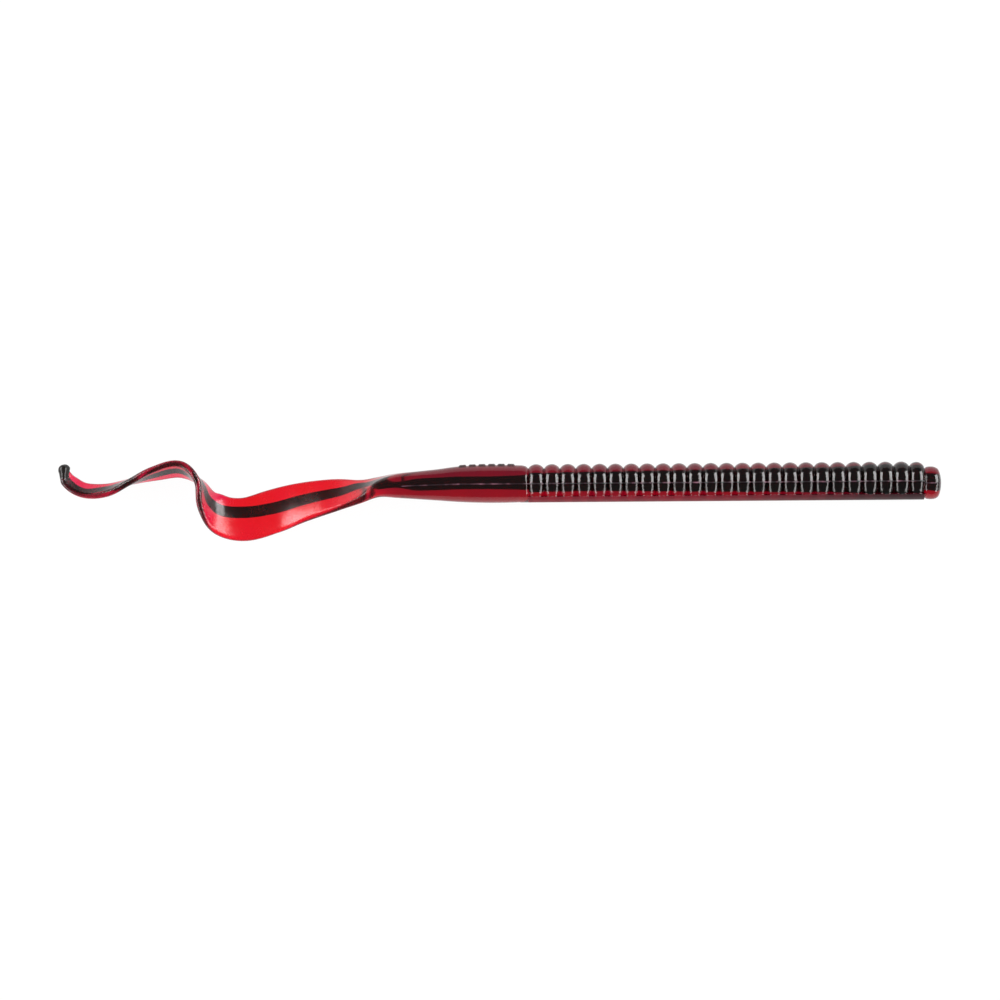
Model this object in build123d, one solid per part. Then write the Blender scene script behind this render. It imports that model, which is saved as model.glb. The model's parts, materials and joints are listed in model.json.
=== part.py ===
from build123d import *
from collections import namedtuple
import math
import os

# A soft plastic ribbon-tail worm, lying on its side. Millimetres and degrees.
# +X runs to the nose, +Y to the ribbed back, -Y to the flat belly, and z = 0 is the surface it lies on.
# It is one moulding of red plastisol round a black core, and it bends everywhere. Here both are divided
# where it bends, so each body is a length of red skin round a length of black core.

# Body
NOSE_X = 83.4
AXIS_Y = 2.87
BODY_RADIUS = 3.69
BELLY_DEPTH = 3.55
RIB_PITCH = 3.0
GROOVE_DEPTH = 0.85
SMALL_RIB_WIDTH = 2.72
HEAD_RIBS = 2
RIB_PAIRS = 11

# The smooth strip that the grooves stop at, beside the belly
STRIP_TOP = -2.46
STRIP_RADIUS = 3.62

# Nose bulb
NOSE_LENGTH = 3.33
NOSE_RADIUS = 3.13
NOSE_NECK = 2.6
NOSE_CORNER = 0.9
NOSE_DROP = 0.4
DOME_RADIUS = 10.0

# Black core of the body, a little thicker towards the head
CORE_HEAD_RADIUS = 2.0
CORE_TAIL_RADIUS = 1.3
CORE_COVER = 0.35
TIP_RADIUS = 1.0

# Joints
BODY_BEND = 15.0
RIBBON_BEND = 20.0
SPARE_BEND = 1.0
FACE_GAP = 0.06
SEAT_GAP = 0.05
KNUCKLE_RADIUS = 0.28
KNUCKLE_LENGTH = 0.78

# Collar, waist and ribbon tail, from the last groove to the tip. x and y are from the body's axis and z is
# from the surface. width runs from the ribbon's upper edge to its lower edge, and turn is how far that
# direction has rolled: 0 lies flat on the surface and 90 stands on edge. thick is across the ribbon.
Station = namedtuple("Station", "x y z width turn thick core_width core_thick")
STATIONS = [
    Station(5.4, 0.0, 3.69, 5.8, 90, 5.8, 2.6, 2.6),
    Station(4.9, 0.0, 3.69, 6.6, 90, 6.6, 2.6, 2.6),
    Station(3.9, 0.0, 3.69, 6.9, 90, 7.0, 2.5, 2.5),
    Station(-2.0, 0.0, 3.69, 7.0, 90, 7.15, 2.3, 2.3),
    Station(-7.7, 0.0, 3.60, 6.6, 90, 6.75, 2.2, 2.2),
    Station(-11.7, -0.1, 3.45, 6.0, 90, 5.95, 2.1, 2.0),
    Station(-15.7, -0.15, 3.25, 5.9, 89, 5.2, 2.1, 1.8),
    Station(-19.6, -0.2, 3.25, 6.4, 81, 4.1, 2.1, 1.5),
    Station(-23.0, -0.45, 3.45, 6.9, 70, 2.4, 2.1, 1.0),
    Station(-26.5, -1.25, 3.50, 7.2, 59, 1.5, 2.2, 0.8),
    Station(-30.5, -1.8, 3.20, 7.6, 43, 1.3, 2.2, 0.7),
    Station(-34.5, -2.55, 2.75, 7.9, 32, 1.3, 2.2, 0.7),
    Station(-38.5, -3.5, 2.15, 8.15, 22, 1.3, 2.2, 0.7),
    Station(-43.0, -4.9, 1.20, 8.35, 6, 1.3, 2.2, 0.7),
    Station(-48.4, -6.35, 0.68, 8.25, 0, 1.3, 2.2, 0.7),
    Station(-52.5, -5.65, 1.85, 7.8, 20, 1.3, 2.2, 0.7),
    Station(-55.3, -2.9, 3.40, 7.2, 58, 1.3, 2.2, 0.7),
    Station(-56.9, 0.8, 3.35, 6.6, 88, 1.3, 2.1, 0.7),
    Station(-60.4, 3.2, 3.10, 6.0, 111, 1.3, 2.1, 0.7),
    Station(-65.4, 2.6, 2.75, 5.4, 105, 1.25, 2.0, 0.7),
    Station(-69.8, 0.95, 2.45, 4.8, 90, 1.25, 1.9, 0.7),
    Station(-74.4, -0.65, 2.15, 4.3, 66, 1.3, 1.8, 0.7),
    Station(-78.8, -0.6, 1.75, 3.7, 48, 1.25, 1.7, 0.7),
    Station(-81.6, 1.4, 1.55, 3.0, 48, 1.25, 1.6, 0.8),
    Station(-82.5, 3.3, 1.45, 2.4, 52, 1.4, 1.5, 1.0),
]
SMOOTH_LENGTHS = ["collar_front", "collar_middle", "collar_rear", "waist"]
COLLAR_JOINTS = [7.0, 14.0, 21.0]
RIBBON_LENGTHS = 10
SECTION_STEP = 2.6


def path_marks():
    """The distance along the worm, in plan, of each station from the first one."""
    marks = [0.0]
    for a, b in zip(STATIONS, STATIONS[1:]):
        marks.append(marks[-1] + math.hypot(b.x - a.x, b.y - a.y))
    return marks


MARKS = path_marks()
PATH_LENGTH = MARKS[-1]


def along(mark):
    """The station at a distance along the path, from a smooth curve through STATIONS."""
    last = len(MARKS) - 1
    i = max(k for k in range(last) if MARKS[k] <= mark or k == 0)
    span = MARKS[i + 1] - MARKS[i]
    u = (mark - MARKS[i]) / span

    def slope(k, item):
        a, b = max(k - 1, 0), min(k + 1, last)
        return (STATIONS[b][item] - STATIONS[a][item]) / (MARKS[b] - MARKS[a])

    def value(item):
        a, b = STATIONS[i][item], STATIONS[i + 1][item]
        level = (2 * u**3 - 3 * u**2 + 1) * a + (3 * u**2 - 2 * u**3) * b
        return level + span * ((u**3 - 2 * u**2 + u) * slope(i, item) + (u**3 - u**2) * slope(i + 1, item))

    return Station(*(value(item) for item in range(len(Station._fields))))


def point(station):
    return Vector(station.x, station.y + AXIS_Y, station.z)


def section_plane(mark):
    """The plane across the ribbon at a mark: its x is the ribbon's width and its z points to the tail."""
    step = 0.05
    ahead = point(along(min(mark + step, PATH_LENGTH)))
    behind = point(along(max(mark - step, 0)))
    tangent = (ahead - behind).normalized()
    station = along(mark)
    turn = math.radians(station.turn)
    level = Vector(-tangent.Y, tangent.X, 0).normalized()
    width = level * math.cos(turn) + Vector(0, 0, 1) * math.sin(turn)
    width = (width - tangent * width.dot(tangent)).normalized()
    return Plane(origin=point(station), x_dir=width, z_dir=tangent)


def smooth_length(start, end, width_item, thick_item):
    """A closed length of the collar or ribbon, or of the core inside it, between two marks."""
    count = max(2, math.ceil((end - start) / SECTION_STEP))
    faces = []
    for k in range(count + 1):
        mark = start + (end - start) * k / count
        station = along(mark)
        width, thick = getattr(station, width_item), getattr(station, thick_item)
        outline = RectangleRounded(width, thick, 0.48 * min(width, thick))
        faces.append(section_plane(mark) * outline)
    return loft(faces, ruled=True)


def core_radius(x):
    """Radius of the body's black core, which grows evenly from the collar to the nose."""
    share = (x - STATIONS[0].x) / (NOSE_X - STATIONS[0].x)
    return CORE_TAIL_RADIUS + share * (CORE_HEAD_RADIUS - CORE_TAIL_RADIUS)


def on_axis(solid, x):
    """Moves a solid turned about the X axis to its place on the body's axis."""
    return Pos(x, AXIS_Y, BODY_RADIUS) * solid


def body_core(low_x, high_x):
    length = high_x - low_x
    cone = Cone(core_radius(low_x), core_radius(high_x), length, align=(Align.CENTER, Align.CENTER, Align.MIN))
    return on_axis(Rot(0, 90, 0) * cone, low_x)


def ribbed_bar(widths):
    """Ribs side by side from x = 0, turned about X. Each rib is one arc, and two ribs meet in a sharp groove."""
    floor = BODY_RADIUS - GROOVE_DEPTH
    length = sum(widths)
    x = 0.0
    edges = [Line((0, 0), (0, floor))]
    for width in widths:
        crest = BODY_RADIUS - GROOVE_DEPTH * (1 - width / RIB_PITCH)
        edges.append(ThreePointArc((x, floor), (x + width / 2, crest), (x + width, floor)))
        x += width
    edges.append(Line((length, floor), (length, 0)))
    edges.append(Line((length, 0), (0, 0)))
    return revolve(make_face(edges), axis=Axis.X)


def with_belly(bar, length):
    """Adds the smooth strip low on the ribs and cuts the belly flat."""
    strip = Rot(0, 90, 0) * Cylinder(STRIP_RADIUS, length, align=(Align.CENTER, Align.CENTER, Align.MIN))
    strip_box = Pos(length / 2, STRIP_TOP - BODY_RADIUS / 2, 0) * Box(length, BODY_RADIUS, 2 * BODY_RADIUS)
    below = Pos(length / 2, -BELLY_DEPTH - BODY_RADIUS, 0) * Box(2 * length, 2 * BODY_RADIUS, 3 * BODY_RADIUS)
    return bar + (strip & strip_box) - below


def front_x(radius):
    """How far forward the nose's slightly domed front is, at a radius from its middle."""
    return NOSE_LENGTH - DOME_RADIUS + math.sqrt(DOME_RADIUS**2 - radius**2)


def nose_bulb():
    """The blunt nose from x = 0 to its tip, turned about X, with a rounded rim."""
    rim = NOSE_RADIUS - NOSE_CORNER
    flank = front_x(rim) - NOSE_CORNER
    edges = [
        Line((0, 0), (0, NOSE_NECK)),
        ThreePointArc((0, NOSE_NECK), (0.25, NOSE_RADIUS - 0.12), (0.8, NOSE_RADIUS)),
        Line((0.8, NOSE_RADIUS), (flank, NOSE_RADIUS)),
        JernArc((flank, NOSE_RADIUS), (1, 0), NOSE_CORNER, -90),
        ThreePointArc((front_x(rim), rim), (front_x(rim / 2), rim / 2), (front_x(0), 0)),
        Line((NOSE_LENGTH, 0), (0, 0)),
    ]
    bulb = Pos(0, -NOSE_DROP, 0) * revolve(make_face(edges), axis=Axis.X)
    below = Pos(NOSE_LENGTH / 2, -BELLY_DEPTH - BODY_RADIUS, 0) * Box(9, 2 * BODY_RADIUS, 3 * BODY_RADIUS)
    return bulb - below


Joint = namedtuple("Joint", "name plane hinge bend core_width core_thick")


def body_joint(name, x, hinge):
    """A bend in the ribbed body at x. hinge is the world direction that it turns about."""
    size = 2 * core_radius(x)
    plane = Plane(origin=(x, AXIS_Y, BODY_RADIUS), x_dir=hinge, z_dir=(-1, 0, 0))
    return Joint(name, plane, plane.x_dir, BODY_BEND, size, size)


def path_joint(name, mark, bend, across=False):
    """A bend at a mark. The hinge is the section's width, or with across its thickness."""
    plane = section_plane(mark)
    station = along(mark)
    size = station.core_width, station.core_thick
    return Joint(name, plane, plane.y_dir if across else plane.x_dir, bend, *size)


def joint_space(joint, into):
    """What a body gives up at a joint: all beyond two faces that slope back from the hinge."""
    reach = 6.0
    slope = math.tan(math.radians((joint.bend + SPARE_BEND) / 2))
    plane = Plane(origin=joint.plane.origin, x_dir=into, z_dir=joint.hinge)
    back = FACE_GAP + reach * slope
    outline = Polyline((-reach, -reach), (back, -reach), (FACE_GAP, 0), (back, reach), (-reach, reach), close=True)
    return extrude(plane * make_face(outline), amount=reach, both=True)


def knuckle(joint, clearance=0.0):
    """The round end of the core, which turns in the core ahead of it."""
    plane = Plane(origin=joint.plane.origin, x_dir=joint.plane.z_dir, z_dir=joint.hinge)
    size = min(joint.core_width, joint.core_thick)
    length = KNUCKLE_LENGTH * (joint.core_width if joint.hinge == joint.plane.x_dir else joint.core_thick)
    return plane * Cylinder(KNUCKLE_RADIUS * size + clearance, length + 2 * clearance)


def finish(blank, core, front, rear):
    """Cuts the joints into a blank and its core. Returns the skin, which is the blank without the core."""
    skin = blank - core
    if front:
        space = joint_space(front, front.plane.z_dir)
        skin -= space
        core = core - space + knuckle(front)
    if rear:
        space = joint_space(rear, -rear.plane.z_dir)
        skin -= space
        core = core - space - knuckle(rear, SEAT_GAP)
    return skin, core


def head_parts(rear):
    widths = [RIB_PITCH] * HEAD_RIBS + [SMALL_RIB_WIDTH]
    length = sum(widths)
    low_x = NOSE_X - NOSE_LENGTH - length
    blank = on_axis(with_belly(ribbed_bar(widths), length), low_x)
    blank += on_axis(nose_bulb(), NOSE_X - NOSE_LENGTH)
    core = body_core(low_x, NOSE_X - CORE_COVER)
    return finish(blank, core, None, rear)


def rib_pair_parts(front, rear):
    low_x, high_x = rear.plane.origin.X, front.plane.origin.X
    blank = on_axis(with_belly(ribbed_bar([RIB_PITCH] * 2), 2 * RIB_PITCH), low_x)
    return finish(blank, body_core(low_x, high_x), front, rear)


def smooth_parts(start, end, front, rear):
    blank = smooth_length(start, end, "width", "thick")
    core = smooth_length(start, end, "core_width", "core_thick")
    if rear is None:
        core += Pos(*point(STATIONS[-1])) * Sphere(TIP_RADIUS)
    return finish(blank, core, front, rear)


def all_joints():
    """Every joint from the head to the tip, named after the body behind it."""
    joints = []
    x = NOSE_X - NOSE_LENGTH - SMALL_RIB_WIDTH - HEAD_RIBS * RIB_PITCH
    for number in range(1, RIB_PAIRS + 1):
        hinge = (0, 0, 1) if number % 2 else (0, 1, 0)
        joints.append(body_joint(f"rib_pair_{number}", x, hinge))
        x -= 2 * RIB_PITCH
    joints.append(body_joint(SMOOTH_LENGTHS[0], x, (0, 1, 0)))
    for number, mark in enumerate(COLLAR_JOINTS):
        joints.append(path_joint(SMOOTH_LENGTHS[number + 1], mark, BODY_BEND, across=number % 2 == 1))
    step = (PATH_LENGTH - COLLAR_JOINTS[-1]) / (RIBBON_LENGTHS + 1)
    for number in range(1, RIBBON_LENGTHS + 1):
        mark = COLLAR_JOINTS[-1] + number * step
        joints.append(path_joint(f"ribbon_{number}", mark, RIBBON_BEND))
    return joints


def all_marks():
    """Where each smooth length starts, and the end of the last one."""
    step = (PATH_LENGTH - COLLAR_JOINTS[-1]) / (RIBBON_LENGTHS + 1)
    ribbon = [COLLAR_JOINTS[-1] + number * step for number in range(1, RIBBON_LENGTHS + 1)]
    return [0.0, *COLLAR_JOINTS, *ribbon, PATH_LENGTH]


def main():
    os.makedirs("parts", exist_ok=True)
    joints = all_joints()
    parts = {"head": head_parts(joints[0])}
    for front, rear in zip(joints[:RIB_PAIRS], joints[1:]):
        parts[front.name] = rib_pair_parts(front, rear)
    marks = all_marks()
    smooth = joints[RIB_PAIRS:]
    for number, front in enumerate(smooth):
        rear = smooth[number + 1] if number + 1 < len(smooth) else None
        parts[front.name] = smooth_parts(marks[number], marks[number + 1], front, rear)
    for name, (skin, core) in parts.items():
        export_step(skin, f"parts/{name}_skin.step")
        export_step(core, f"parts/{name}_core.step")


main()
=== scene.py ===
import json
import math

import bpy
import numpy as np
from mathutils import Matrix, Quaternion, Vector

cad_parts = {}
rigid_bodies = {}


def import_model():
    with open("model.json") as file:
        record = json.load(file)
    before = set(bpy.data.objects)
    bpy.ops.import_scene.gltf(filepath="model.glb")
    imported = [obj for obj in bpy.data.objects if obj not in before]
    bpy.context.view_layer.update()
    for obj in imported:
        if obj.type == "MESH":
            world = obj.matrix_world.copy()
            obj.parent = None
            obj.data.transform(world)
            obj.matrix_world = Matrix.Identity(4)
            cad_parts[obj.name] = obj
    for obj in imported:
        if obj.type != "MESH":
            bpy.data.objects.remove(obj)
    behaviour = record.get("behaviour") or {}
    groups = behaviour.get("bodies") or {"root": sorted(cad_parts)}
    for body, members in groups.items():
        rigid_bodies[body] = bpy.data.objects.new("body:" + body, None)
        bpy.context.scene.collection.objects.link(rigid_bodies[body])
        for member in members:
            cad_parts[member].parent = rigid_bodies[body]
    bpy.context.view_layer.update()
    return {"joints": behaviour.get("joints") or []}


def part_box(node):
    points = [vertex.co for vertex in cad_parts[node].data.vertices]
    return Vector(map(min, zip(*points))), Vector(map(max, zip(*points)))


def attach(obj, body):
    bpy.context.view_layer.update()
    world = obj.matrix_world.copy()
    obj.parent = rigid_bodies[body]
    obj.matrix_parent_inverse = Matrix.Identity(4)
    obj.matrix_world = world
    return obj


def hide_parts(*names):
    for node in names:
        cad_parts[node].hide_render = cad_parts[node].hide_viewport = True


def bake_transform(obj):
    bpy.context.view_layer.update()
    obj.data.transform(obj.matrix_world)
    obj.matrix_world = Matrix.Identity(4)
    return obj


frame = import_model()

# A soft plastic worm that lies on its side, with its nose towards +X, its ribbed back towards +Y and its
# flat belly towards -Y. A clear red skin and the black core inside it are each made as one whole surface,
# which is then cut into pieces, one across each joint.
#
# Lengths are millimetres, as the worm is measured, and MM turns them into Blender's metres. A place along the
# worm is given by its x, by a mark, which is the distance along the tail from the last groove, or by its
# distance from the nose, which runs along the body's axis and then along the tail.
MM = 0.001


# ---------------------------------------------------------------- the chain of bodies and joints

def chain_from(root):
    """The joints in order from the root body to the tip of the tail."""
    by_parent = {joint["parent"]: joint for joint in frame["joints"]}
    found = []
    body = root
    while body in by_parent:
        found.append(by_parent[body])
        body = by_parent[body]["child"]
    return found


JOINTS = chain_from("head")
BODIES = ["head"] + [joint["child"] for joint in JOINTS]
NOSE_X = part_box("head_skin")[1].x / MM
AXIS_Y, AXIS_Z = (value / MM for value in JOINTS[0]["pos_m"][1:])


# ---------------------------------------------------------------- shape of the ribbed body

# The radius is at the ribs' crests, and the belly's depth is from the axis. The seam is the fine ridge of the
# parting line. Its spread is a share of a quarter of the way round.
BODY_RADIUS = 3.69
BELLY_DEPTH = 3.55
BELLY_EDGE = 0.06
RIB_PITCH = 3.0
RIB_COUNT = 24
RIB_ARC = 1.75
GROOVE_DEPTH = 0.85
SMALL_RIB_WIDTH = 2.72
SMALL_RIB_RISE = 0.9
SEAM_HEIGHT = 0.05
SEAM_SPREAD = 0.03

# The nose bulb: its neck, its widest part, the corner of its front and how far the front is domed. It sits
# lower than the body's axis.
NOSE_LENGTH = 3.33
NOSE_NECK = 2.6
NOSE_RADIUS = 3.13
NOSE_CORNER = 1.25
NOSE_DOME = 0.25
NOSE_DROP = 0.4

# The smooth strip along the belly, where the grooves between the ribs end
STRIP_TOP = -2.46
STRIP_RADIUS = 3.64

# The last groove is where the body ends and the tail begins.
BODY_LENGTH = NOSE_LENGTH + SMALL_RIB_WIDTH + RIB_COUNT * RIB_PITCH
GROOVE_X = NOSE_X - BODY_LENGTH

# How closely the rings of points lie
NOSE_RINGS = 26
RINGS_PER_RIB = 18
RING_CROWDING = 0.09
CORE_RINGS = 240

# ---------------------------------------------------------------- shape of the collar and ribbon tail

# From the last groove to the tip. y is from the body's axis and z from the surface. turn says which way the
# width runs, rolled about the path: at 0 it lies flat, towards the belly's side in the flat bend, and at 90
# it stands up. thick is across the width. The core's own width and thickness come last.
STATION_ITEMS = ["x", "y", "z", "width", "turn", "thick", "core_width", "core_thick"]
STATIONS = np.array([
    [5.4, 0.0, 3.69, 5.8, 90, 5.8, 2.6, 2.3],
    [4.9, 0.0, 3.69, 6.6, 90, 6.6, 2.6, 2.1],
    [3.9, 0.0, 3.69, 6.9, 90, 7.0, 2.5, 1.9],
    [-2.0, 0.0, 3.69, 7.0, 90, 7.15, 2.3, 1.7],
    [-7.7, 0.0, 3.60, 6.6, 90, 6.75, 2.2, 1.7],
    [-11.7, -0.1, 3.45, 6.0, 90, 5.95, 2.1, 1.6],
    [-15.7, -0.15, 3.25, 5.9, 89, 5.25, 2.0, 1.4],
    [-19.6, -0.2, 3.25, 6.3, 86, 4.5, 2.0, 0.55],
    [-23.0, -0.45, 3.45, 6.8, 80, 3.2, 2.1, 0.5],
    [-26.5, -1.25, 3.50, 7.2, 60, 1.7, 2.2, 0.42],
    [-30.5, -1.8, 3.20, 7.6, 43, 1.3, 2.2, 0.42],
    [-34.5, -2.55, 2.75, 7.9, 32, 1.3, 2.2, 0.42],
    [-38.5, -3.5, 2.15, 8.15, 22, 1.3, 2.2, 0.42],
    [-43.0, -4.9, 1.20, 8.35, 6, 1.3, 2.2, 0.42],
    [-48.4, -6.35, 0.68, 8.25, 0, 1.3, 2.2, 0.42],
    [-52.5, -5.65, 1.85, 7.8, 20, 1.3, 2.2, 0.42],
    [-55.3, -2.9, 3.40, 7.2, 58, 1.3, 2.2, 0.42],
    [-56.9, 0.8, 3.35, 6.6, 88, 1.3, 2.1, 0.42],
    [-60.4, 3.2, 3.10, 6.0, 114, 1.3, 2.1, 0.42],
    [-65.4, 2.4, 2.75, 5.4, 111, 1.25, 2.0, 0.42],
    [-69.8, 0.95, 2.45, 4.8, 90, 1.25, 1.9, 0.42],
    [-74.4, -0.65, 2.15, 4.3, 66, 1.3, 1.8, 0.42],
    [-78.8, -0.6, 1.75, 3.7, 48, 1.25, 1.3, 0.42],
    [-81.8, 1.3, 1.55, 3.5, 48, 1.25, 1.7, 1.15],
    [-82.5, 3.3, 1.45, 1.6, 52, 1.0, 2.4, 2.0],
])
MARKS = np.concatenate([[0.0], np.cumsum(np.hypot(*np.diff(STATIONS[:, :2], axis=0).T))])
PATH_LENGTH = MARKS[-1]
TANGENT_REACH = 2.0
RING_STEP = 0.35
LAST_GROOVE_LENGTH = 1.6

# Corner radius of a section of the tail, over the smaller of its half sizes
SKIN_ROUNDNESS = 0.97
CORE_ROUNDNESS = 0.9
END_ROUNDNESS = 0.97

# The skin ends inside the black tip, which is rounded over half its thickness. A closed end's last ring is
# this small.
SKIN_END_LENGTH = 0.55
SKIN_END_RINGS = 6
TIP_RADIUS = 1.0
TIP_RINGS = 8
SMALLEST_RADIUS = 0.02
SMALLEST_SHARE = 0.02

# A row of plain low pads along the back of the collar. Their edges are in pitches from a pad's middle, and
# their sides are shares of a quarter of the way round. The rings lie closer as far as the last pad.
PAD_FIRST_X = 2.1
PAD_PITCH = 1.82
PAD_COUNT = 6
PAD_HEIGHT = 0.25
PAD_EDGES = (0.28, 0.42)
PAD_SIDES = (0.72, 0.84)
PAD_RING_STEP = 0.15
PADDED_LENGTH = 13.5

# The black core's radius at x, in the ribbed body, how much it varies, and how far its end is from the nose's
CORE_RADII = np.array([
    [5.4, 1.25], [20.0, 1.3], [42.0, 1.5], [64.0, 1.7], [72.0, 2.1], [79.0, 2.1], [80.6, 1.15], [83.4, 1.1],
])
CORE_COVER = 0.35
CORE_WOBBLE = 0.04

# The core lies nearer the back than the body's axis. It comes down to the collar's lift over this length
# before the last groove, and to the middle between these two places.
CORE_LIFT = 0.25
CORE_DROP_LENGTH = 12.0
COLLAR_CORE_LIFT = 0.15
COLLAR_LIFT_FADES = (-22, -8)

# How far the stripe lies from the middle of the ribbon, along its width. It wanders farther in the flat bend
# and at the waist, over about these lengths either way. The pairs are the two x between which a shift grows
# to its whole amount, and it ends as the ribbon turns up on edge. The tip has a shift of its own, which fades
# over the last stretch.
RIBBON_SHIFT = -0.35
RIBBON_SHIFT_GROWS = (-26, -32)
BEND_SHIFT = -1.0
BEND_SHIFT_X = -49.0
BEND_SHIFT_LENGTH = 5.0
WAIST_SHIFT = -1.3
WAIST_SHIFT_X = -26.5
WAIST_SHIFT_LENGTH = 2.5
SHIFTS_GROW = (-57, -52)
TIP_SHIFT = 0.45
TIP_SHIFT_GROWS = (-75, -79)
TIP_SHIFT_LENGTH = 1.5


def smoothstep(value, start, end):
    """Goes smoothly from 0 at start to 1 at end, whichever of them is greater."""
    share = np.clip((value - start) / (end - start), 0, 1)
    return share * share * (3 - 2 * share)


def station_slopes():
    """How fast each number of each station changes along the path."""
    last = len(MARKS) - 1
    low = np.maximum(np.arange(last + 1) - 1, 0)
    high = np.minimum(np.arange(last + 1) + 1, last)
    return (STATIONS[high] - STATIONS[low]) / (MARKS[high] - MARKS[low])[:, None]


SLOPES = station_slopes()


def along(marks):
    """Stations at distances along the path, from a smooth curve through STATIONS."""
    marks = np.clip(np.atleast_1d(np.asarray(marks, float)), 0, PATH_LENGTH)
    i = np.clip(np.searchsorted(MARKS, marks, side="right") - 1, 0, len(MARKS) - 2)
    span = (MARKS[i + 1] - MARKS[i])[:, None]
    u = (marks[:, None] - MARKS[i][:, None]) / span
    level = (2 * u**3 - 3 * u**2 + 1) * STATIONS[i] + (3 * u**2 - 2 * u**3) * STATIONS[i + 1]
    return level + span * ((u**3 - 2 * u**2 + u) * SLOPES[i] + (u**3 - u**2) * SLOPES[i + 1])


def item(stations, name):
    """One item of each of these stations."""
    return stations[:, STATION_ITEMS.index(name)]


def path_points(marks):
    """Middle of the tail at each mark, in the frame's own axes."""
    return along(marks)[:, :3] + np.array([0, AXIS_Y, 0])


def unit(vectors):
    return vectors / np.linalg.norm(vectors, axis=-1, keepdims=True)


def path_frames(marks):
    """Centre, width direction, thickness direction and tangent (towards the tail) at each mark. The tangent
    is an average over a stretch, so that the sections don't cross inside the tight bend."""
    marks = np.asarray(marks)
    tangent = unit(path_points(marks + TANGENT_REACH) - path_points(marks - TANGENT_REACH))
    turn = np.radians(item(along(marks), "turn"))[:, None]
    level = unit(np.stack([-tangent[:, 1], tangent[:, 0], np.zeros(len(tangent))], axis=1))
    width = level * np.cos(turn) + np.array([0, 0, 1]) * np.sin(turn)
    width = unit(width - tangent * np.sum(width * tangent, axis=1, keepdims=True))
    return path_points(marks), width, np.cross(tangent, width), tangent


# ---------------------------------------------------------------- rings

# A ring's points go round from the width direction, which is up on the body, through its thickness
# direction, which is the ribbed back. Their shares of a quarter turn crowd together at the parting line,
# and again at the top of the belly strip.
SEAM_SHARES = [0.0, 0.022, 0.044, 0.07, 0.11]
LEDGE_SHARES = [0.462, 0.48]
SIDE_POINTS = 18


def ring_shares():
    """Shares of a quarter turn for one quarter of a ring, from the parting line to the back or belly."""
    even = np.linspace(SEAM_SHARES[-1], 1.0, SIDE_POINTS)
    return np.array(sorted([*SEAM_SHARES[:-1], *LEDGE_SHARES, *even]))


QUARTER = ring_shares()


def around():
    """(share of a quarter, sign of width, sign of thickness) of each point of a ring, in order."""
    first = [(share, 1, 1) for share in QUARTER[:-1]]
    second = [(share, -1, 1) for share in QUARTER[:0:-1]]
    third = [(share, -1, -1) for share in QUARTER[:-1]]
    fourth = [(share, 1, -1) for share in QUARTER[:0:-1]]
    return np.array(first + second + third + fourth)


AROUND = around()
RING_SIZE = len(AROUND)


def rounded_outline(half_width, half_thick, corner):
    """Points of a rounded rectangle as (across the width, across the thickness) for each ring point."""
    share = AROUND[:, 0]
    rise = half_thick - corner
    bend = corner * math.pi / 2
    reach = half_width - corner
    run = share * (rise + bend + reach)
    angle = np.clip((run - rise) / corner, 0, math.pi / 2)
    flat = np.clip(run - rise - bend, 0, None)
    u = half_width - corner + corner * np.cos(angle) - flat
    v = np.clip(run, 0, rise) + corner * np.sin(angle)
    return u * AROUND[:, 1], v * AROUND[:, 2]


def wobble(position, seed, scale):
    """A repeatable gentle unevenness from -1 to 1, as hand-poured plastic has."""
    total = np.zeros_like(np.asarray(position, float))
    for k, weight in ((1, 0.5), (2, 0.3), (3, 0.2)):
        total += weight * np.sin(position * k * 1.7 / scale + seed * (3.1 + k))
    return total


def rib_relief(x):
    """How far below the crests the skin is at x."""
    back = NOSE_X - NOSE_LENGTH - SMALL_RIB_WIDTH
    small = x > back
    width = np.where(small, SMALL_RIB_WIDTH, RIB_PITCH)
    start = np.where(small, back, GROOVE_X)
    offset = np.mod(x - start, width) - width / 2
    crest = math.sqrt(RIB_ARC**2 - (RIB_PITCH / 2) ** 2)
    rise = np.sqrt(np.clip(RIB_ARC**2 - (offset * RIB_PITCH / width) ** 2, 0, None)) - crest
    rise = np.where(small, rise * SMALL_RIB_RISE, rise)
    return GROOVE_DEPTH - rise


def flatten_belly(v):
    """Presses the belly flat, with a small soft edge."""
    over = (-BELLY_DEPTH - v) / BELLY_EDGE
    return v + BELLY_EDGE * np.log1p(np.exp(np.clip(over, -40, 40)))


def seam_ridge(x):
    """Height of the thin flash that the mould's parting line left, at ring points near it."""
    near = np.exp(-((AROUND[:, 0] / SEAM_SPREAD) ** 2))
    uneven = 0.6 + 0.4 * wobble(x, 2.0, 1.3)
    return SEAM_HEIGHT * near[None, :] * uneven[:, None]


def body_skin_rings(xs):
    """Rings of the ribbed body at these x."""
    angle = AROUND[:, 0] * math.pi / 2
    cos, sin = np.cos(angle), np.sin(angle)
    ribbed = BODY_RADIUS - rib_relief(xs)[:, None] + seam_ridge(xs)
    low = STRIP_RADIUS * sin
    in_strip = low > -STRIP_TOP
    depth = np.minimum(low, BELLY_DEPTH)
    height = np.where(in_strip, STRIP_RADIUS * cos, np.sqrt(np.clip(ribbed**2 - depth**2, 0, None)))
    back = AROUND[:, 2] > 0
    u = np.where(back, ribbed * cos, height) * AROUND[:, 1]
    v = np.where(back, ribbed * sin, -depth)
    x = np.repeat(xs[:, None], RING_SIZE, axis=1)
    return np.stack([x, AXIS_Y + v, AXIS_Z + u], axis=2)


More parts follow.
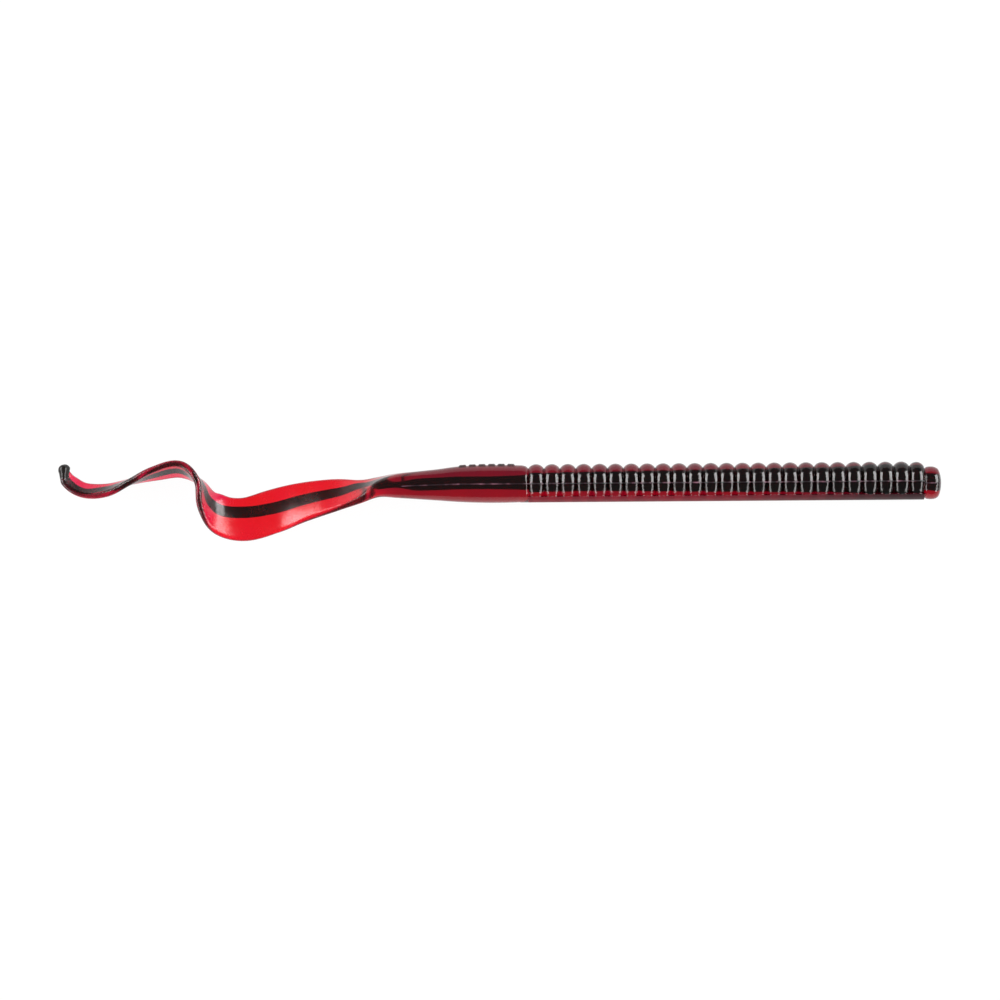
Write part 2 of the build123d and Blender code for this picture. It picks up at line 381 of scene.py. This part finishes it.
def nose_profile(share):
    """Distance forward and radius along the nose bulb's outline, share 0 at its neck and 1 at its tip."""
    rim_shade = NOSE_RADIUS - NOSE_CORNER
    dome = NOSE_LENGTH - NOSE_DOME
    points = np.array([
        [0.0, NOSE_NECK], [0.12, NOSE_RADIUS - 0.28], [0.4, NOSE_RADIUS - 0.08], [0.9, NOSE_RADIUS],
        [dome - NOSE_CORNER, NOSE_RADIUS], [dome - 0.3 * NOSE_CORNER, rim_shade + 0.7 * NOSE_CORNER],
        [dome, rim_shade], [NOSE_LENGTH - 0.06, rim_shade / 2], [NOSE_LENGTH, 0.0],
    ])
    steps = np.concatenate([[0], np.cumsum(np.hypot(*np.diff(points, axis=0).T))])
    at = share * steps[-1]
    return np.interp(at, steps, points[:, 0]), np.interp(at, steps, points[:, 1])


def nose_rings(count):
    """Rings of the nose bulb from its tip back to its neck."""
    angle = AROUND[:, 0] * math.pi / 2
    cos, sin = np.cos(angle) * AROUND[:, 1], np.sin(angle) * AROUND[:, 2]
    forward, radius = nose_profile(np.linspace(1, 0, count))
    kernel = np.array([0.25, 0.5, 0.25])
    for _ in range(3):
        forward[1:-1] = np.convolve(forward, kernel, "valid")
        radius[1:-1] = np.convolve(radius, kernel, "valid")
    radius[0] = SMALLEST_RADIUS
    v = flatten_belly(radius[:, None] * sin - NOSE_DROP)
    u = radius[:, None] * cos
    x = np.repeat((NOSE_X - NOSE_LENGTH + forward)[:, None], RING_SIZE, axis=1)
    return np.stack([x, AXIS_Y + v, AXIS_Z + u], axis=2)


def path_rings(marks, width_name, thick_name, roundness):
    """Rings round the path at these marks. roundness is the corner radius over the smaller half size."""
    stations = along(marks)
    centre, width_way, thick_way, _ = path_frames(marks)
    rings = []
    for k in range(len(marks)):
        half_width = item(stations, width_name)[k] / 2
        half_thick = item(stations, thick_name)[k] / 2
        u, v = rounded_outline(half_width, half_thick, roundness * min(half_width, half_thick))
        rings.append(centre[k] + np.outer(u, width_way[k]) + np.outer(v, thick_way[k]))
    return np.array(rings)


def grid_normals(rings):
    """Outward normals of the whole surface, so that pieces cut from it still shade as one."""
    along_way = np.gradient(rings, axis=0)
    around_way = np.roll(rings, -1, axis=1) - np.roll(rings, 1, axis=1)
    normals = np.cross(along_way, around_way)
    outward = rings - rings.mean(axis=1, keepdims=True)
    flip = np.where(np.sum(normals * outward, axis=2, keepdims=True).mean(axis=1, keepdims=True) < 0, -1, 1)
    return unit(normals * flip + 1e-12 * outward)


# ---------------------------------------------------------------- the two whole surfaces

# How finely a place is looked for along the path
FINE = 0.01


def joint_position(joint):
    """A joint's distance back from the nose, along the body and then the path."""
    x = joint["pos_m"][0] / MM
    if x >= GROOVE_X - FINE:
        return NOSE_X - x
    marks = np.arange(0, PATH_LENGTH, FINE)
    distance = np.linalg.norm(path_points(marks) - np.array(joint["pos_m"]) / MM, axis=1)
    return BODY_LENGTH + marks[np.argmin(distance)]


JOINT_AT = [joint_position(joint) for joint in JOINTS]
TAIL_END = BODY_LENGTH + PATH_LENGTH


def cut_positions():
    """Where the pieces part: half way between each joint and the next."""
    cuts = [JOINT_AT[0] - RIB_PITCH]
    for near, far in zip(JOINT_AT, JOINT_AT[1:]):
        cuts.append((near + far) / 2)
    cuts.append((JOINT_AT[-1] + TAIL_END) / 2)
    return cuts


CUTS = cut_positions()


def body_xs():
    """x of the body's rings behind the nose, crowded towards each groove."""
    edges = [NOSE_X - NOSE_LENGTH, NOSE_X - NOSE_LENGTH - SMALL_RIB_WIDTH]
    while len(edges) < RIB_COUNT + 2:
        edges.append(edges[-1] - RIB_PITCH)
    found = []
    for front, rear in zip(edges, edges[1:]):
        share = np.linspace(0, 1, RINGS_PER_RIB, endpoint=False)
        share = share - RING_CROWDING * np.sin(2 * math.pi * share)
        found.extend(front + (rear - front) * share)
    return np.array(found)


def tail_marks():
    """Marks of the rings of the collar and ribbon, with one at each cut."""
    stops = [0.0, *(cut - BODY_LENGTH for cut in CUTS if cut > BODY_LENGTH), PATH_LENGTH]
    found = []
    for low, high in zip(stops, stops[1:]):
        count = max(4, math.ceil((high - low) / (PAD_RING_STEP if low < PADDED_LENGTH else RING_STEP)))
        found.extend(np.linspace(low, high, count, endpoint=False))
    found.append(PATH_LENGTH)
    return np.array(found)


def fill_last_groove(tail, marks):
    """Carries the belly straight on under the groove behind the last rib."""
    near = marks < LAST_GROOVE_LENGTH
    belly = AROUND[:, 2] < 0
    stretch = np.maximum(2 * BELLY_DEPTH / item(along(marks[near]), "thick"), 1)
    lower = tail[:, belly, 1] - AXIS_Y
    lower[near] *= stretch[:, None]
    tail[:, belly, 1] = AXIS_Y + lower


def raise_pads(tail, marks):
    """Raises the row of pads along the back of the collar."""
    place = (PAD_FIRST_X - path_points(marks)[:, 0]) / PAD_PITCH
    nearest = np.clip(np.round(place), 0, PAD_COUNT - 1)
    along_pad = 1 - smoothstep(np.abs(place - nearest), *PAD_EDGES)
    across_pad = smoothstep(AROUND[:, 0], *PAD_SIDES) * (AROUND[:, 2] > 0)
    tail[:, :, 1] += PAD_HEIGHT * np.outer(along_pad, across_pad)


def tail_end_rings(width_name, thick_name, length, count):
    """Rings that close the end of the tail with a rounded end of this length."""
    station = along([PATH_LENGTH])[0]
    centre, width_way, thick_way, tangent = (value[0] for value in path_frames([PATH_LENGTH]))
    half_width = station[STATION_ITEMS.index(width_name)] / 2
    half_thick = station[STATION_ITEMS.index(thick_name)] / 2
    rings = []
    for number in range(1, count + 1):
        angle = math.pi / 2 * number / count
        shrink = max(math.cos(angle), SMALLEST_SHARE)
        small_width = half_width - min(half_width, half_thick) * (1 - shrink)
        if number == count:
            small_width = max(small_width / 2, SMALLEST_RADIUS)
        small_thick = half_thick * shrink
        u, v = rounded_outline(small_width, small_thick, END_ROUNDNESS * min(small_width, small_thick))
        middle = centre + tangent * length * math.sin(angle)
        rings.append(middle + np.outer(u, width_way) + np.outer(v, thick_way))
    return np.array(rings)


def skin_surface():
    """(rings, distance from the nose of each ring) of the red skin, from the nose to the ribbon's end."""
    xs = body_xs()
    marks = tail_marks()
    nose = nose_rings(NOSE_RINGS)[:-1]
    body = body_skin_rings(xs)
    tail = path_rings(marks, "width", "thick", SKIN_ROUNDNESS)
    fill_last_groove(tail, marks)
    raise_pads(tail, marks)
    end = tail_end_rings("width", "thick", SKIN_END_LENGTH, SKIN_END_RINGS)
    nose_at = NOSE_X - nose[:, :, 0].mean(axis=1)
    end_at = np.full(len(end), TAIL_END)
    at = np.concatenate([nose_at, NOSE_X - xs, BODY_LENGTH + marks, end_at])
    return np.concatenate([nose, body, tail, end]), at


def body_core_rings(xs):
    """Rings of the core in the ribbed body at these x. The first two close its front end."""
    radius = np.interp(xs, CORE_RADII[:, 0], CORE_RADII[:, 1]) * (1 + CORE_WOBBLE * wobble(xs, 5.0, 1.6))
    radius[0] = SMALLEST_RADIUS
    radius[1] *= 0.9
    angle = AROUND[:, 0] * math.pi / 2
    cos, sin = np.cos(angle) * AROUND[:, 1], np.sin(angle) * AROUND[:, 2]
    to_collar = smoothstep(xs, GROOVE_X + CORE_DROP_LENGTH, GROOVE_X)
    lift = CORE_LIFT + (COLLAR_CORE_LIFT - CORE_LIFT) * to_collar
    lift -= (NOSE_DROP + CORE_LIFT) * smoothstep(xs, NOSE_X - 2 * NOSE_LENGTH, NOSE_X)
    y = AXIS_Y + lift[:, None] + radius[:, None] * sin
    z = AXIS_Z + radius[:, None] * cos
    return np.stack([np.repeat(xs[:, None], RING_SIZE, axis=1), y, z], axis=2)


def stripe_shift(marks):
    """How far the stripe lies from the middle of the ribbon at each mark."""
    x = path_points(marks)[:, 0]
    shift = BEND_SHIFT * np.exp(-(((x - BEND_SHIFT_X) / BEND_SHIFT_LENGTH) ** 2))
    shift += RIBBON_SHIFT * smoothstep(x, *RIBBON_SHIFT_GROWS)
    shift += WAIST_SHIFT * np.exp(-(((x - WAIST_SHIFT_X) / WAIST_SHIFT_LENGTH) ** 2))
    shift *= smoothstep(x, *SHIFTS_GROW)
    before_end = smoothstep(marks, PATH_LENGTH, PATH_LENGTH - TIP_SHIFT_LENGTH)
    return shift + TIP_SHIFT * smoothstep(x, *TIP_SHIFT_GROWS) * before_end


def core_surface():
    """(rings, distance from the nose of each ring) of the black core, with its thick round tip."""
    front = NOSE_X - CORE_COVER
    xs = np.concatenate([[front, front], np.linspace(front - 0.1, GROOVE_X, CORE_RINGS, endpoint=False)])
    body = body_core_rings(xs)
    marks = tail_marks()
    tail = path_rings(marks, "core_width", "core_thick", CORE_ROUNDNESS)
    tail[:, :, 1] += (COLLAR_CORE_LIFT * smoothstep(path_points(marks)[:, 0], *COLLAR_LIFT_FADES))[:, None]
    tail += (stripe_shift(marks)[:, None] * path_frames(marks)[1])[:, None, :]
    end = tail_end_rings("core_width", "core_thick", TIP_RADIUS, TIP_RINGS)
    at = np.concatenate([NOSE_X - xs, BODY_LENGTH + marks, np.full(len(end), TAIL_END)])
    return np.concatenate([body, tail, end]), at


# ---------------------------------------------------------------- pieces

# Distances from the nose: where the parting line's own material ends, where the pinker half of the ribbon
# starts, and how far back the darker front reaches
SEAM_END = BODY_LENGTH + 24.0
PINK_START = BODY_LENGTH + 58.0
PINK_BLEND = 4.0
FRONT_END = 0.7 * BODY_LENGTH

# Thickness of the ribbon, where the red is brightest, and of the body, where it is darkest
THIN_AND_THICK = (1.2, 5.4)


def skin_attributes(at):
    """depth: how much red the light goes through, 0 in the thin ribbon to 1 in the thick body.
    rim_shade: 1 at the ribbon's two edges, where painted shade darkens the red. side: from -1 at the belly to
    1
    at the back. pink: 1 in the far half of the ribbon, where the dye is thinner. groove: 1 at the bottom of
    the grooves between ribs, except near the belly, where painted shade darkens the red. front: 1 towards the
    nose, where more black is mixed in."""
    marks = np.clip(at - BODY_LENGTH, 0, PATH_LENGTH)
    stations = along(marks)
    thick = np.where(at < BODY_LENGTH, 2 * BODY_RADIUS, item(stations, "thick"))
    depth = np.repeat(smoothstep(thick, *THIN_AND_THICK)[:, None], RING_SIZE, axis=1)
    # Painted shade: the ribbon's two edges get a deeper crimson.
    rim_shade = np.repeat(smoothstep(1 - AROUND[:, 0], 0.8, 0.98)[None, :], len(at), axis=0)
    side = np.repeat((np.sin(AROUND[:, 0] * math.pi / 2) * AROUND[:, 2])[None, :], len(at), axis=0)
    pink = np.repeat(smoothstep(at, PINK_START, PINK_START + PINK_BLEND)[:, None], RING_SIZE, axis=1)
    relief = np.where((at > NOSE_LENGTH) & (at < BODY_LENGTH), rib_relief(NOSE_X - at), 0)
    # Painted shade: the bottoms of the grooves between ribs are darkened, except near the belly.
    groove = smoothstep(relief / GROOVE_DEPTH, 0.3, 0.95)[:, None] * smoothstep(side, -0.5, -0.2)
    front = np.repeat(smoothstep(at, FRONT_END, NOSE_LENGTH)[:, None], RING_SIZE, axis=1)
    front[at < NOSE_LENGTH] = 0
    return {"depth": depth, "rim_shade": rim_shade, "side": side, "pink": pink, "groove": groove, "front": front}


def skin_face_materials(at):
    """Which material each face between these rings has: 0 plain, 1 beside the parting line, 2 on the smooth
    strip along the ribbed body's belly."""
    beside = AROUND[:, 0] == 0
    beside |= np.roll(beside, -1)
    beside &= AROUND[:, 0] < 0.5
    beside = beside & (at[:-1, None] < SEAM_END)
    strip = (AROUND[:, 2] < 0) & (AROUND[:, 0] >= LEDGE_SHARES[1])
    strip &= np.roll(strip, -1)
    ribbed = (at[:-1] > NOSE_LENGTH) & (at[:-1] < BODY_LENGTH)
    return np.where(ribbed[:, None] & strip, 2, np.where(beside, 1, 0)).ravel()


def make_piece(name, rings, normals, attributes, closed_start, closed_end):
    """A mesh of quads between rings, with the whole surface's own normals and values."""
    count = len(rings)
    points = (rings * MM).reshape(-1, 3)
    faces = []
    for i in range(count - 1):
        for j in range(RING_SIZE):
            k = (j + 1) % RING_SIZE
            a, b = i * RING_SIZE, (i + 1) * RING_SIZE
            faces.append((a + j, b + j, b + k, a + k))
    if closed_start:
        faces.append(tuple(range(RING_SIZE)))
    if closed_end:
        last = (count - 1) * RING_SIZE
        faces.append(tuple(last + j for j in reversed(range(RING_SIZE))))
    mesh = bpy.data.meshes.new(name)
    mesh.from_pydata(points.tolist(), [], faces)
    mesh.update()
    flat = normals.reshape(-1, 3)
    face = mesh.polygons[0]
    if face.normal.dot(Vector(flat[face.vertices[0]])) < 0:
        mesh.flip_normals()
    mesh.shade_smooth()
    mesh.normals_split_custom_set_from_vertices(flat.tolist())
    for key, values in attributes.items():
        made = mesh.attributes.new(key, "FLOAT", "POINT")
        made.data.foreach_set("value", values.astype(np.float32).ravel())
    piece = bpy.data.objects.new(name, mesh)
    bpy.context.scene.collection.objects.link(piece)
    return piece


def put_skin_materials(piece, materials, face_materials):
    """Gives a piece only the materials that its faces use. The faces that close its ends are plain."""
    used = sorted({0, *face_materials.tolist()})
    for number in used:
        piece.data.materials.append(materials[number])
    faces = piece.data.polygons
    index = np.zeros(len(faces), int)
    index[:len(face_materials)] = np.searchsorted(used, face_materials)
    faces.foreach_set("material_index", index)


def bend_piece(piece):
    """Bakes a piece's transform into its mesh."""
    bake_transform(piece)


def cut_surface(kind, rings, at, attributes, materials):
    """Cuts a whole surface into one piece for the head, one across each joint and one for the tip."""
    normals = grid_normals(rings)
    index = [int(np.argmin(np.abs(at - cut))) for cut in CUTS]
    spans = [(0, index[0]), *zip(index, index[1:]), (index[-1], len(at) - 1)]
    for number, (low, high) in enumerate(spans):
        part = slice(low, high + 1)
        values = {key: value[part] for key, value in attributes.items()}
        first = number == 0
        last = number == len(spans) - 1
        body = BODIES[min(number, len(BODIES) - 1)]
        place = {0: "nose", len(spans) - 1: "end"}.get(number, "bend")
        piece = make_piece(f"{body}_{kind}_{place}", rings[part], normals[part], values, first, last)
        if kind == "core":
            piece.data.materials.append(materials[1 if last else 0])
        else:
            put_skin_materials(piece, materials, skin_face_materials(at[part]))
        if first or last:
            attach(piece, BODIES[0] if first else BODIES[-1])
        else:
            bend_piece(piece)
        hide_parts(f"{body}_{kind}")


# ---------------------------------------------------------------- materials

# Lengths from here on are metres.
PLASTISOL_IOR = 1.45
BUMP_DISTANCE = 0.0001


def new_material(name):
    """A material, its node tree and its shader."""
    material = bpy.data.materials.new(name)
    material.use_nodes = True
    tree = material.node_tree
    shader = tree.nodes["Principled BSDF"]
    return material, tree, shader


def node(tree, kind, **inputs):
    """A node with these input values."""
    made = tree.nodes.new(kind)
    for key, value in inputs.items():
        made.inputs[key].default_value = value
    return made


def attribute(tree, name):
    """The values that make_piece stored under this name."""
    made = tree.nodes.new("ShaderNodeAttribute")
    made.attribute_name = name
    return made.outputs["Fac"]


def mix(tree, share, low, high):
    """A colour between low and high, each a colour or another node's output."""
    made = tree.nodes.new("ShaderNodeMix")
    made.data_type = "RGBA"
    colours = [socket for socket in made.inputs if socket.type == "RGBA"]
    for socket, value in ((made.inputs[0], share), (colours[0], low), (colours[1], high)):
        if isinstance(value, bpy.types.NodeSocket):
            tree.links.new(value, socket)
        else:
            socket.default_value = value
    return next(socket for socket in made.outputs if socket.type == "RGBA")


def noise(tree, scale, detail, roughness=0.5):
    """Noise with this many cells to a metre."""
    place = tree.nodes.new("ShaderNodeTexCoord")
    made = node(tree, "ShaderNodeTexNoise", Scale=scale, Detail=detail, Roughness=roughness)
    tree.links.new(place.outputs["Object"], made.inputs["Vector"])
    return made.outputs["Fac"]


def map_range(tree, value, low, high, to_low, to_high):
    """Carries a value's range from low to high over to another range."""
    made = node(tree, "ShaderNodeMapRange")
    made.inputs["From Min"].default_value = low
    made.inputs["From Max"].default_value = high
    made.inputs["To Min"].default_value = to_low
    made.inputs["To Max"].default_value = to_high
    tree.links.new(value, made.inputs["Value"])
    return made.outputs["Result"]


def multiply(tree, first, second):
    made = tree.nodes.new("ShaderNodeMath")
    made.operation = "MULTIPLY"
    tree.links.new(first, made.inputs[0])
    tree.links.new(second, made.inputs[1])
    return made.outputs["Value"]


def bump(tree, shader, height, strength):
    made = node(tree, "ShaderNodeBump", Strength=strength, Distance=BUMP_DISTANCE)
    tree.links.new(height, made.inputs["Height"])
    tree.links.new(made.outputs["Normal"], shader.inputs["Normal"])


def red_plastisol():
    """Clear red soft plastic: bright where it is thin, maroon where it is thick, with a slight haze. Its
    colour also holds painted shade at the ribbon's edges, in the grooves and on the body's back, and painted
    light on the belly side.
    """
    material, tree, shader = new_material("red_plastisol")
    shader.inputs["Transmission Weight"].default_value = 1.0
    shader.inputs["IOR"].default_value = PLASTISOL_IOR
    shader.inputs["Specular IOR Level"].default_value = 0.16
    cloud = map_range(tree, noise(tree, 90, 3.0), 0.35, 0.65, 0.0, 1.0)
    near = mix(tree, cloud, (0.82, 0.004, 0.007, 1), (0.84, 0.005, 0.022, 1))
    far = mix(tree, cloud, (0.80, 0.004, 0.030, 1), (0.84, 0.009, 0.085, 1))
    bright = mix(tree, attribute(tree, "pink"), near, far)
    # Painted shade and light: in the thick body the back is painted a darker red and the belly side a
    # brighter red.
    back = mix(tree, cloud, (0.20, 0.002, 0.013, 1), (0.13, 0.002, 0.014, 1))
    belly = mix(tree, cloud, (0.34, 0.001, 0.008, 1), (0.24, 0.002, 0.012, 1))
    thick = mix(tree, map_range(tree, attribute(tree, "side"), -0.3, 0.4, 0.0, 1.0), belly, back)
    # Painted shade: a deeper crimson at the ribbon's edges.
    rim_shade_colour = (0.42, 0.003, 0.030, 1)
    rim_shaded = mix(tree, attribute(tree, "rim_shade"), bright, rim_shade_colour)
    smoky = mix(tree, attribute(tree, "front"), thick, (0.12, 0.003, 0.012, 1))
    # Painted shade: the grooves between ribs are darkened almost to black.
    ribbed = mix(tree, attribute(tree, "groove"), smoky, (0.04, 0.001, 0.005, 1))
    colour = mix(tree, attribute(tree, "depth"), rim_shaded, ribbed)
    tree.links.new(colour, shader.inputs["Base Color"])
    gloss = map_range(tree, attribute(tree, "depth"), 0.0, 1.0, 0.24, 0.14)
    uneven = map_range(tree, noise(tree, 400, 4.0), 0.3, 0.7, 0.8, 1.25)
    tree.links.new(multiply(tree, gloss, uneven), shader.inputs["Roughness"])
    bump(tree, shader, noise(tree, 900, 4.0), 0.12)
    return material


def lit_belly_plastisol():
    """The smooth strip along the belly, made less clear than the rest, with a diffuse red as painted light
    where little light comes through it.
    """
    material, tree, shader = new_material("red_plastisol_belly_lit")
    shader.inputs["Transmission Weight"].default_value = 0.35
    shader.inputs["IOR"].default_value = PLASTISOL_IOR
    shader.inputs["Specular IOR Level"].default_value = 0.1
    # Painted light: a diffuse red brightens the strip, where little light comes through the plastic.
    painted_lit_red = mix(tree, noise(tree, 120, 3.0), (0.26, 0.006, 0.018, 1), (0.17, 0.006, 0.018, 1))
    colour = mix(tree, attribute(tree, "front"), painted_lit_red, (0.035, 0.010, 0.013, 1))
    tree.links.new(colour, shader.inputs["Base Color"])
    tree.links.new(map_range(tree, noise(tree, 400, 4.0), 0.3, 0.7, 0.3, 0.45), shader.inputs["Roughness"])
    bump(tree, shader, noise(tree, 900, 4.0), 0.15)
    return material


def seam_highlight_plastisol():
    """The thin flash along the parting line, a real ridge of the same plastic, with paler patches painted on
    it as its highlight.
    """
    material, tree, shader = new_material("red_plastisol_seam_highlight")
    shader.inputs["IOR"].default_value = PLASTISOL_IOR
    shader.inputs["Specular IOR Level"].default_value = 0.3
    # Painted highlight: paler pinkish-grey patches along the parting line's flash.
    highlight_dashes = map_range(tree, noise(tree, 420, 3.0, 0.6), 0.48, 0.66, 0.0, 1.0)
    colour = mix(tree, highlight_dashes, (0.012, 0.003, 0.006, 1), (0.17, 0.07, 0.10, 1))
    tree.links.new(colour, shader.inputs["Base Color"])
    tree.links.new(map_range(tree, noise(tree, 500, 4.0), 0.3, 0.7, 0.35, 0.55), shader.inputs["Roughness"])
    bump(tree, shader, noise(tree, 1500, 4.0), 0.3)
    return material


def black_plastisol(name, gloss, dark, pale):
    """Opaque black soft plastic, clouded between two blacks. Only where it is bare does it gloss."""
    material, tree, shader = new_material(name)
    shader.inputs["IOR"].default_value = PLASTISOL_IOR
    shader.inputs["Specular IOR Level"].default_value = gloss
    colour = mix(tree, noise(tree, 260, 4.0), dark, pale)
    tree.links.new(colour, shader.inputs["Base Color"])
    tree.links.new(map_range(tree, noise(tree, 500, 4.0), 0.3, 0.7, 0.18, 0.34), shader.inputs["Roughness"])
    bump(tree, shader, noise(tree, 1100, 4.0), 0.15)
    return material


# ---------------------------------------------------------------- stage, light and camera

# The world's strength as a light, which is low, and where the camera sees it, which is almost white
WORLD_LIGHT = 0.2
WORLD_SEEN = 0.95
FLOOR_GLOW = 0.97


def floor():
    """A pale floor that glows as a light table does, so that the clear red is lit from below."""
    half = 1.5
    low = -0.0001
    mesh = bpy.data.meshes.new("floor")
    square = [(-half, -half, low), (half, -half, low), (half, half, low), (-half, half, low)]
    mesh.from_pydata(square, [], [(0, 1, 2, 3)])
    made = bpy.data.objects.new("floor", mesh)
    bpy.context.scene.collection.objects.link(made)
    material, tree, shader = new_material("pale_floor")
    shader.inputs["Base Color"].default_value = (0.04, 0.04, 0.04, 1)
    shader.inputs["Roughness"].default_value = 0.9
    shader.inputs["Specular IOR Level"].default_value = 0.0
    shader.inputs["Emission Color"].default_value = (1, 1, 1, 1)
    shader.inputs["Emission Strength"].default_value = FLOOR_GLOW
    mesh.materials.append(material)


def softbox(name, side, azimuth, elevation, roll, width, height, power):
    """A light a metre away beyond the nose (side 1) or the tail (side -1). azimuth turns it towards the
    worm's back, and roll lowers the end that is farther round."""
    flat = math.cos(math.radians(elevation))
    x = side * flat * math.cos(math.radians(azimuth))
    place = (x, flat * math.sin(math.radians(azimuth)), math.sin(math.radians(elevation)))
    data = bpy.data.lights.new(name, "AREA")
    data.shape = "RECTANGLE"
    data.size = width
    data.size_y = height
    data.energy = power
    made = bpy.data.objects.new(name, data)
    made.location = place
    aim = (-Vector(place)).to_track_quat("-Z", "Y")
    made.rotation_euler = (aim @ Quaternion((0, 0, 1), math.radians(-side * roll))).to_euler()
    bpy.context.scene.collection.objects.link(made)


def studio():
    """Pale surroundings, and a large and a small softbox beyond each end of the worm."""
    world = bpy.data.worlds.new("studio")
    bpy.context.scene.world = world
    world.use_nodes = True
    background = world.node_tree.nodes["Background"]
    background.inputs["Color"].default_value = (1, 1, 1, 1)
    straight = world.node_tree.nodes.new("ShaderNodeLightPath").outputs["Is Camera Ray"]
    strength = map_range(world.node_tree, straight, 0.0, 1.0, WORLD_LIGHT, WORLD_SEEN)
    world.node_tree.links.new(strength, background.inputs["Strength"])
    for side in (-1, 1):
        softbox("key", side, azimuth=24, elevation=22, roll=20, width=0.85, height=0.56, power=16)
        softbox("fill", side, azimuth=-28, elevation=20, roll=-20, width=0.9, height=0.32, power=6.5)
    scene = bpy.context.scene
    scene.view_settings.view_transform = "Standard"
    scene.view_settings.look = "None"


def camera():
    """Looks straight down through a long lens, as a worm laid on its side is pictured."""
    distance = 1.0
    frame_width = 0.189
    sensor_width = 36
    below_middle = 0.00017
    roll = -0.42
    data = bpy.data.cameras.new("camera")
    data.sensor_width = sensor_width
    data.lens = sensor_width * distance / frame_width
    data.clip_start = 0.05
    made = bpy.data.objects.new("camera", data)
    made.location = (0.0, -below_middle, AXIS_Z * MM + distance)
    made.rotation_euler = (0, 0, math.radians(roll))
    bpy.context.scene.collection.objects.link(made)
    bpy.context.scene.camera = made


def main():
    skin = red_plastisol()
    seam = seam_highlight_plastisol()
    belly = lit_belly_plastisol()
    covered = black_plastisol("black_plastisol", 0.0, (0.012, 0.003, 0.004, 1), (0.050, 0.010, 0.014, 1))
    bare = black_plastisol("black_plastisol_tip", 0.3, (0.004, 0.003, 0.003, 1), (0.012, 0.009, 0.008, 1))
    rings, at = skin_surface()
    cut_surface("skin", rings, at, skin_attributes(at), [skin, seam, belly])
    rings, at = core_surface()
    cut_surface("core", rings, at, {}, [covered, bare])
    floor()
    studio()
    camera()


main()
